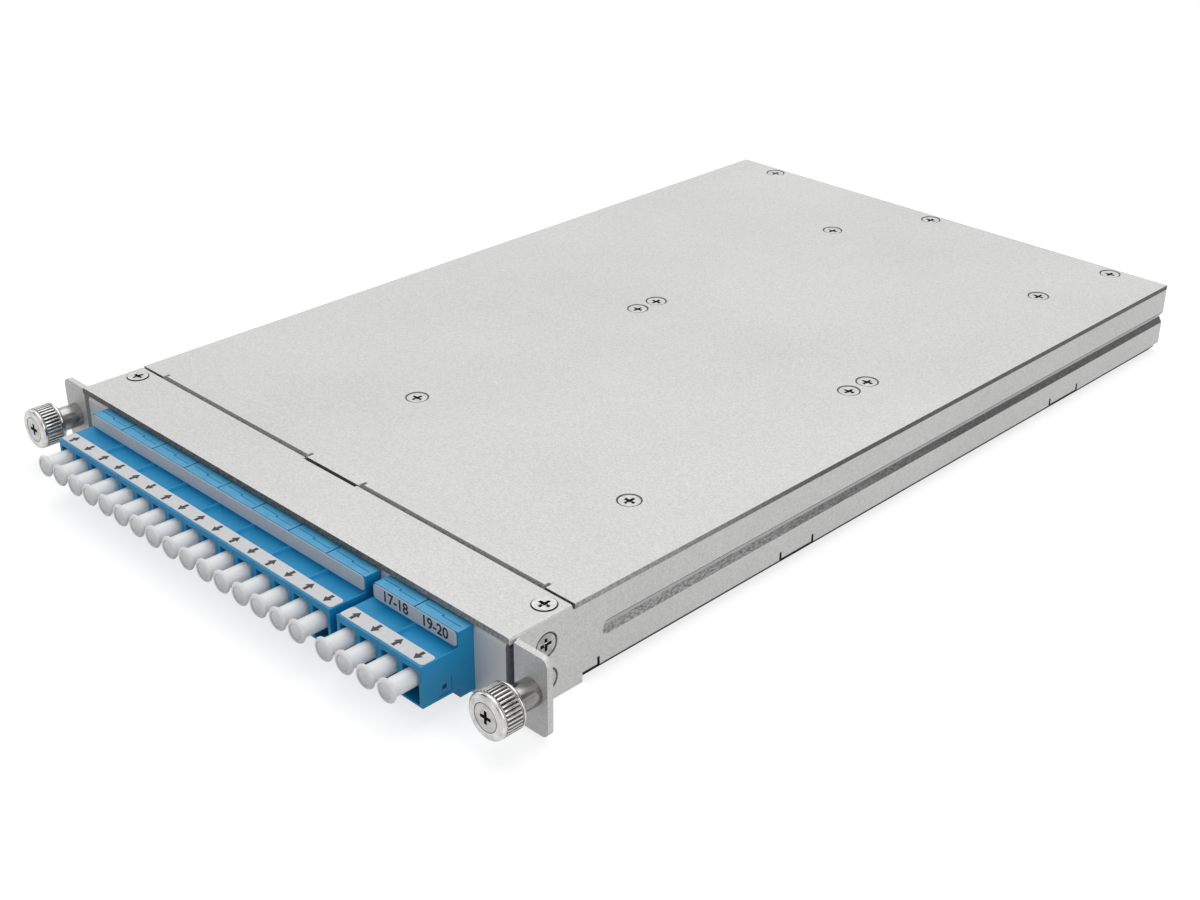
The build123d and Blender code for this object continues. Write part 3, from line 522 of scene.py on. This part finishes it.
for node in sorted(nodes):
    if node.startswith("lc_adapter_"):
        side_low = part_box(node)[0].x / mm
        side_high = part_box(node)[1].x / mm

        def in_adapter_seam(middle, normal):
            """The collar's edge beside its neighbour, and the pocket with its hole in each side."""
            beside_neighbour = (
                middle.z > collar_top - seam_deep
                and abs(normal.x) > 0.3
                and abs(middle.y - collar_middle) < collar_reach
                and min(abs(middle.x - end) for end in row_ends) > row_end_wide
            )
            inward = min(middle.x - side_low, side_high - middle.x)
            in_pocket = (
                abs(middle.y - pocket_middle) < pocket_reach
                and abs(middle.z - pocket_level) < pocket_reach
                and (abs(normal.x) < 0.7 or hole_least < inward < hole_most)
            )
            return beside_neighbour or in_pocket

        adapter = eased(node, adapter_finish, 0.1 * mm)
        finish_where(adapter, collar_top_painted_light, on_collar_top)
        finish_where(adapter, adapter_seam_shade, in_adapter_seam)


# Inside: ceramic sleeves, the plugs behind the adapters, the yellow loom on its nylon saddles,
# and the two sealed filter boxes that hang under the lid.
def give(node, finish):
    """Put one finish on a CAD node."""
    mesh = nodes[node].data
    mesh.materials.clear()
    mesh.materials.append(finish)


sleeve_finish, tree, shader, place = new_finish("ground_ceramic", (0.88, 0.86, 0.8), 0, 0.25)
uneven(tree, shader, place, 0.3 * mm, 0.2, 0.32)
give("alignment_sleeves", sleeve_finish)

plug_finish, tree, shader, place = new_finish("pale_nylon", (0.7, 0.7, 0.68), 0, 0.45)
mottled(tree, shader, place, 2 * mm, (0.66, 0.66, 0.64), (0.74, 0.74, 0.72))
raised(tree, shader, grain(tree, place, 0.25 * mm), 0.01 * mm, 0.3)
give("inner_plugs", plug_finish)
give("loom_saddles", plug_finish)

loom_finish, tree, shader, place = new_finish("yellow_jacket", (0.75, 0.5, 0.03), 0, 0.4)
mottled(tree, shader, place, 3 * mm, (0.7, 0.45, 0.02), (0.8, 0.55, 0.04))
raised(tree, shader, grain(tree, place, 0.4 * mm), 0.02 * mm, 0.3)
give("fibre_loom", loom_finish)

box_finish, tree, shader, place = new_finish("drawn_aluminium_box", (0.5, 0.51, 0.52), 0.9, 0.35)
drawn = grain(tree, stretched(tree, place, (1, 0.02, 1)), 0.2 * mm, 3)
drawn_grey = tinted(tree, spread(tree, drawn, 0, 1), (0.44, 0.45, 0.46), (0.57, 0.58, 0.59))
tree.links.new(drawn_grey, shader.inputs["Base Color"])
tree.links.new(spread(tree, drawn, 0.28, 0.42), shader.inputs["Roughness"])
give("filter_module_front", box_finish)
give("filter_module_rear", box_finish)

# Base pan and lid: steel sheet 1.2 mm thick with the frame's coat. The lid's side edges are dark sheared
# steel with a painted highlight towards the front, and the bend of its front lip shows as a dark line
# beside the pale top.
lid_thick = 1.2
lid_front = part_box("lid")[0].y / mm
lid_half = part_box("lid")[1].x / mm
rear_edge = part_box("frame")[1].y / mm
lip_back = 2.2
lid_screws_front = 4.0
lid_screws_rear = 0.6
lid_screws_half = 74.0
# The lid's side edges: dark sheared steel, with a painted highlight that lightens them towards the front.
side_cut, tree, shader, place = new_finish("lid_side_edge", (0.1, 0.1, 0.1), 0.4, 0.5)
speckle = spread(tree, grain(tree, stretched(tree, place, (1, 0.7, 1)), 0.3 * mm, 3), 0, 1, 0.35, 0.6)
near = tinted(tree, speckle, (0.22, 0.22, 0.22), (0.4, 0.4, 0.4))
far = tinted(tree, speckle, (0.05, 0.05, 0.05), (0.1, 0.1, 0.1))
to_the_rear = along(tree, place, "Y", -100 * mm, -20 * mm)
tree.links.new(tinted(tree, to_the_rear, near, far), shader.inputs["Base Color"])
raised(tree, shader, speckle, 0.05 * mm, 0.5)
lip_finish, tree, shader, place = new_finish("lip_bend", (0.12, 0.12, 0.12), 0.5, 0.5)
mottled(tree, shader, place, 0.25 * mm, (0.07, 0.07, 0.07), (0.2, 0.2, 0.2), detail=3)


def on_pan_side(middle, normal):
    """The pan's sides, in the gap under each wall."""
    return abs(normal.x) > 0.5 and abs(middle.x) > wall_inside - foot_reach


def on_lid_side(middle, normal):
    """The lid's two long sheared edges."""
    return (
        abs(middle.x) > lid_half - 2 * slack
        and abs(normal.x) > 0.3
        and middle.z > top_level - lid_thick - slack
    )


def on_lip_bend(middle, normal):
    """The lid's front edge, where its lip bends down."""
    return middle.y < lid_front + lip_back and normal.y < -0.2


def on_lid_countersink(middle, normal):
    """The cones under the lid's screws."""
    return (
        cone_least < normal.z < cone_most
        and abs(middle.x) < lid_screws_half
        and lid_front + lid_screws_front < middle.y < rear_edge - lid_screws_rear
    )


pan = eased("base_pan", sheet_coat, 0.1 * mm)
# The pan's sides under the walls carry painted shade.
finish_where(pan, gap_shade, on_pan_side)
lid_sheet = eased("lid", sheet_coat, 0.08 * mm)
finish_where(lid_sheet, side_cut, on_lid_side)
finish_where(lid_sheet, lip_finish, on_lip_bend)
# The lid's countersinks carry painted shade.
finish_where(lid_sheet, ring_shade, on_lid_countersink)

# Screws: nickel-plated steel with flat heads and a cross recess, whose recess and shank carry painted
# shade. They sit in the lid, the strip and the walls, and hold the pan from below.
nickel_finish, tree, shader, place = new_finish("bright_nickel", (0.5, 0.495, 0.48), 1, 0.24)
mottled(tree, shader, place, 1.2 * mm, (0.22, 0.218, 0.21), (0.5, 0.495, 0.484))
uneven(tree, shader, place, 0.5 * mm, 0.17, 0.3)
raised(tree, shader, grain(tree, place, 0.25 * mm), 0.01 * mm, 0.2)
head_finish, tree, shader, place = new_finish("satin_screw_head", (0.6, 0.6, 0.59), 0.85, 0.3)
mottled(tree, shader, place, 0.5 * mm, (0.5, 0.5, 0.49), (0.68, 0.68, 0.67))
raised(tree, shader, grain(tree, place, 0.2 * mm), 0.01 * mm, 0.2)


def off_upright_head(middle, normal):
    """Recess and shank of a screw whose head faces up or down."""
    return abs(normal.z) < 0.75


def off_side_head(middle, normal):
    """Recess and shank of a screw whose head faces sideways."""
    return abs(normal.x) < 0.75


for node in ("lid_screws", "strip_screws", "base_screws"):
    screws = eased(node, head_finish, 0.06 * mm, steps=1)
    finish_where(screws, gap_shade, off_upright_head)
screws = eased("side_screws", nickel_finish, 0.06 * mm, steps=1)
finish_where(screws, gap_shade, off_side_head)

# Labels: pale matt film on the shelf and on the collars, printed with dark ink. One arrow for
# each port points in or out, and plain port numbers stand on the right-hand collar label.
label_finish, tree, shader, place = new_finish("pale_label_film", (0.68, 0.68, 0.7), 0, 0.55)
mottled(tree, shader, place, 0.5 * mm, (0.66, 0.665, 0.68), (0.71, 0.715, 0.73))
for node in sorted(nodes):
    if "label" in node:
        give(node, label_finish)
ink, tree, shader, place = new_finish("dark_ink", (0.03, 0.03, 0.035), 0, 0.5)
mottled(tree, shader, place, 0.15 * mm, (0.008, 0.008, 0.01), (0.025, 0.025, 0.028))

ink_thick = 0.02 * mm
arrow_long = 2.75 * mm
arrow_head = 1.5 * mm
arrow_wide = 2.1 * mm
arrow_shaft = 0.85 * mm
arrow_neck = arrow_long / 2 - arrow_head
near_neck = 0.01 * mm
bpy.ops.object.select_all(action="DESELECT")
bpy.ops.mesh.primitive_circle_add(vertices=3, radius=1, fill_type="NGON", location=(0, 0, 0))
arrow = bpy.context.object
arrow.name = "port_arrow"
head_tip = max(corner.co.y for corner in arrow.data.vertices)
head_base = min(corner.co.y for corner in arrow.data.vertices)
head_half = max(corner.co.x for corner in arrow.data.vertices)
head_scale = (arrow_wide / 2 / head_half, arrow_head / (head_tip - head_base), 1)
bpy.ops.object.mode_set(mode="EDIT")
bpy.ops.mesh.select_mode(type="VERT")
bpy.ops.mesh.select_all(action="SELECT")
bpy.ops.transform.resize(value=head_scale, center_override=(0, 0, 0))
bpy.ops.transform.translate(value=(0, arrow_long / 2 - head_tip * head_scale[1], 0))


def select_on_neck(reach):
    """Select the arrow's corners on the line under its head, up to this far from the middle."""
    bpy.ops.mesh.select_all(action="DESELECT")
    bpy.ops.object.mode_set(mode="OBJECT")
    for corner in arrow.data.vertices:
        corner.select = abs(corner.co.y - arrow_neck) < near_neck and abs(corner.co.x) < reach
    bpy.ops.object.mode_set(mode="EDIT")


select_on_neck(arrow_wide)
bpy.ops.mesh.subdivide(number_cuts=2)
select_on_neck(arrow_wide / 3)
bpy.ops.transform.resize(value=(3 * arrow_shaft / arrow_wide, 1, 1), center_override=(0, 0, 0))
bpy.ops.mesh.extrude_region_move(TRANSFORM_OT_translate={"value": (0, arrow_head - arrow_long, 0)})
bpy.ops.object.mode_set(mode="OBJECT")
thickness = arrow.modifiers.new("ink", "SOLIDIFY")
thickness.thickness = ink_thick
thickness.offset = 1
bpy.ops.object.modifier_apply(modifier=thickness.name)
arrow.data.materials.append(ink)

for side in ("left", "right"):
    low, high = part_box(f"port_label_{side}")
    port_places = []
    for node in nodes:
        if node.startswith("dust_cap_"):
            cap_low, cap_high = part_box(node)
            if low.x < cap_low.x < high.x:
                port_places.append((cap_low.x + cap_high.x) / 2)
    copies = []
    for number, port_x in enumerate(sorted(port_places)):
        copy = bpy.data.objects.new(f"arrow_{side}_{number + 1}", arrow.data.copy())
        bpy.context.scene.collection.objects.link(copy)
        copy.location = (port_x, (low.y + high.y) / 2, high.z)
        copy.rotation_euler = (0, 0, math.pi * (number % 2))
        copies.append(copy)
    bpy.ops.object.select_all(action="DESELECT")
    for copy in copies:
        copy.select_set(True)
    bpy.context.view_layer.objects.active = copies[0]
    bpy.ops.object.transform_apply(location=True, rotation=True, scale=True)
    bpy.ops.object.join()
    copies[0].name = f"port_arrows_{side}"
    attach(copies[0], "housing")
bpy.data.objects.remove(arrow)

number_tall = 2.4 * mm
type_size = 1.42 * number_tall
ink_spread = 0.07 * mm
first_port = 17
pair_places = (0.27, 0.75)
low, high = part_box("row_label_right")
for number, share in enumerate(pair_places):
    bpy.ops.object.select_all(action="DESELECT")
    bpy.ops.object.text_add(location=(0, 0, 0))
    print_text = bpy.context.object
    first = first_port + 2 * number
    print_text.data.body = f"{first}-{first + 1}"
    print_text.data.size = type_size
    print_text.data.offset = ink_spread
    print_text.data.extrude = ink_thick / 2
    print_text.data.align_x = "CENTER"
    print_text.data.align_y = "CENTER"
    bpy.ops.object.convert(target="MESH")
    print_text = bpy.context.object
    bpy.ops.object.mode_set(mode="EDIT")
    bpy.ops.mesh.select_all(action="SELECT")
    bpy.ops.mesh.remove_doubles(threshold=same_place)
    bpy.ops.mesh.normals_make_consistent(inside=False)
    bpy.ops.object.mode_set(mode="OBJECT")
    print_text.name = f"port_numbers_{number + 1}"
    print_text.rotation_euler = (math.pi / 2, 0, 0)
    label_x = low.x + (high.x - low.x) * share
    print_text.location = (label_x, low.y - ink_thick / 2, (low.z + high.z) / 2)
    bpy.ops.object.transform_apply(location=True, rotation=True, scale=True)
    print_text.data.materials.clear()
    print_text.data.materials.append(ink)
    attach(print_text, "housing")

# Dust caps: soft milky plastic that light sinks into. Each is a hollow stem over the sleeve tube in its
# port, closed by a disc with a shallow recess whose sloping ring carries painted shade.
cap_finish, tree, shader, place = new_finish("milky_cap_plastic", (0.86, 0.87, 0.88), 0, 0.4)
shader.inputs["Subsurface Weight"].default_value = 1
shader.inputs["Subsurface Scale"].default_value = 5 * mm
shader.inputs["Subsurface Radius"].default_value = (1, 1, 1)
mottled(tree, shader, place, 2 * mm, (0.95, 0.953, 0.957), (0.99, 0.99, 0.99))
raised(tree, shader, grain(tree, place, 0.3 * mm), 0.01 * mm, 0.2)
# Painted shade on the sloping ring round the recess in the cap's disc.
cap_ring_shade, tree, shader, place = new_finish("painted_cap_ring_shade", (0.72, 0.73, 0.75), 0, 0.45)
shader.inputs["Subsurface Weight"].default_value = 0.6
shader.inputs["Subsurface Scale"].default_value = 2 * mm
shader.inputs["Subsurface Radius"].default_value = (1, 1, 1)
mottled(tree, shader, place, 1 * mm, (0.62, 0.63, 0.65), (0.72, 0.73, 0.75))

cap_ring_deep = 0.26
cap_ring_reach = 2.0
for node in sorted(nodes):
    if node.startswith("dust_cap_"):
        low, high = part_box(node)
        cap_face = low.y / mm
        cap_x = (low.x + high.x) / 2 / mm
        cap_z = (low.z + high.z) / 2 / mm

        def on_cap_ring(middle, normal):
            """The sloping ring round the recess in the disc's face."""
            return (
                middle.y < cap_face + cap_ring_deep
                and 0.25 < -normal.y < 0.97
                and math.hypot(middle.x - cap_x, middle.z - cap_z) < cap_ring_reach
            )

        cap = eased(node, cap_finish, 0.12 * mm)
        finish_where(cap, cap_ring_shade, on_cap_ring)

# Captive thumbscrews: turned and knurled steel with a nickel plate, on a collar pressed into each ear.
# The spring between collar and knob is drawn wire, attached to the push.
wire_finish, tree, shader, place = new_finish("drawn_wire", (0.4, 0.4, 0.39), 1, 0.3)
uneven(tree, shader, place, 0.2 * mm, 0.24, 0.4)
# Painted shade in the flutes of the knurl.
knurl_shade, tree, shader, place = new_finish("painted_knurl_valley_shade", (0.12, 0.12, 0.118), 1, 0.35)
mottled(tree, shader, place, 0.6 * mm, (0.07, 0.07, 0.07), (0.22, 0.22, 0.215))
ring_pitch = 0.09 * mm
seam_half = 0.09 * mm
seam_outside_disc = 0.06 * mm
recess_deep = 1.1
disc_face_deep = 0.2
flute_inside = 1.0
flute_outside = 0.08


def turned(name, axis_x, axis_z, dark, light, seam=None):
    """Nickel turned about an axis along Y: fine rings round it, and a line of painted shade at this
    radius, where the disc sits in the knob.
    """
    finish, tree, shader, place = new_finish(name, light, 1, 0.22)
    centred = tree.nodes.new("ShaderNodeMapping")
    centred.inputs["Location"].default_value = (-axis_x, 0, -axis_z)
    tree.links.new(place, centred.inputs["Vector"])
    across_axis = stretched(tree, centred.outputs["Vector"], (1, 0, 1))
    reach = tree.nodes.new("ShaderNodeVectorMath")
    reach.operation = "LENGTH"
    tree.links.new(across_axis, reach.inputs[0])
    cuts = tree.nodes.new("ShaderNodeTexNoise")
    cuts.noise_dimensions = "1D"
    cuts.inputs["Scale"].default_value = 0.5 / ring_pitch
    tree.links.new(reach.outputs["Value"], cuts.inputs["W"])
    patches = grain(tree, stretched(tree, place, (1, 0.25, 1)), 1.1 * mm)
    cloud = tinted(tree, spread(tree, patches, 0, 1, 0.35, 0.65), dark, light)
    darker = tuple(part * 0.55 for part in dark)
    shade = tinted(tree, spread(tree, cuts.outputs["Fac"], 0, 0.35), cloud, darker)
    # Painted shade: a dark line round the disc, where it sits in the knob.
    if seam:
        line = tree.nodes.new("ShaderNodeMath")
        line.operation = "COMPARE"
        line.inputs[1].default_value = seam
        line.inputs[2].default_value = seam_half
        tree.links.new(reach.outputs["Value"], line.inputs[0])
        shade = tinted(tree, line.outputs[0], shade, (0.02, 0.02, 0.02))
    tree.links.new(shade, shader.inputs["Base Color"])
    tree.links.new(spread(tree, patches, 0.15, 0.32), shader.inputs["Roughness"])
    raised(tree, shader, cuts.outputs["Fac"], 0.01 * mm, 0.3)
    return finish


for side in ("left", "right"):
    give(f"spring_{side}", wire_finish)
    coil = bpy.data.objects.new(f"spring_{side}_wire", nodes[f"spring_{side}"].data.copy())
    bpy.context.scene.collection.objects.link(coil)
    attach(coil, f"thumbscrew_{side}_push")
    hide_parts(f"spring_{side}")
    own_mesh(coil)

    low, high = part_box(f"thumbscrew_{side}")
    screw_face = low.y / mm
    axis_x = (low.x + high.x) / 2
    axis_z = (low.z + high.z) / 2
    disc_radius = (high.x - low.x) / 2
    knob_low, knob_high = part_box(f"knob_{side}")
    knob_radius = (knob_high.x - knob_low.x) / 2
    seam_radius = disc_radius + seam_outside_disc
    collar_nickel = ((0.22, 0.218, 0.214), (0.5, 0.495, 0.484))
    disc_nickel = ((0.38, 0.376, 0.368), (0.62, 0.613, 0.6))
    knob_nickel = ((0.5, 0.495, 0.484), (0.76, 0.752, 0.735))
    ferrule_finish = turned(f"turned_collar_{side}", axis_x, axis_z, *collar_nickel)
    disc_finish = turned(f"turned_disc_{side}", axis_x, axis_z, *disc_nickel)
    knob_finish = turned(f"turned_knob_{side}", axis_x, axis_z, *knob_nickel, seam=seam_radius)

    def in_cross_recess(middle, normal):
        """The walls and floor of the recess in the disc's face."""
        return middle.y < screw_face + recess_deep and (
            abs(normal.y) < 0.7 or middle.y > screw_face + disc_face_deep
        )

    def in_knurl_valley(middle, normal):
        """The flutes cut round the knob."""
        reach = math.hypot(middle.x - axis_x / mm, middle.z - axis_z / mm)
        inner_end = disc_radius / mm + flute_inside
        outer_end = knob_radius / mm - flute_outside
        return inner_end < reach < outer_end and abs(normal.y) < 0.3

    eased(f"ferrule_{side}", ferrule_finish, 0.1 * mm)
    screw = eased(f"thumbscrew_{side}", disc_finish, 0.05 * mm)
    # Painted shade in the cross recess of the disc.
    finish_where(screw, gap_shade, in_cross_recess)
    knob = eased(f"knob_{side}", knob_finish, 0.05 * mm)
    finish_where(knob, knurl_shade, in_knurl_valley)
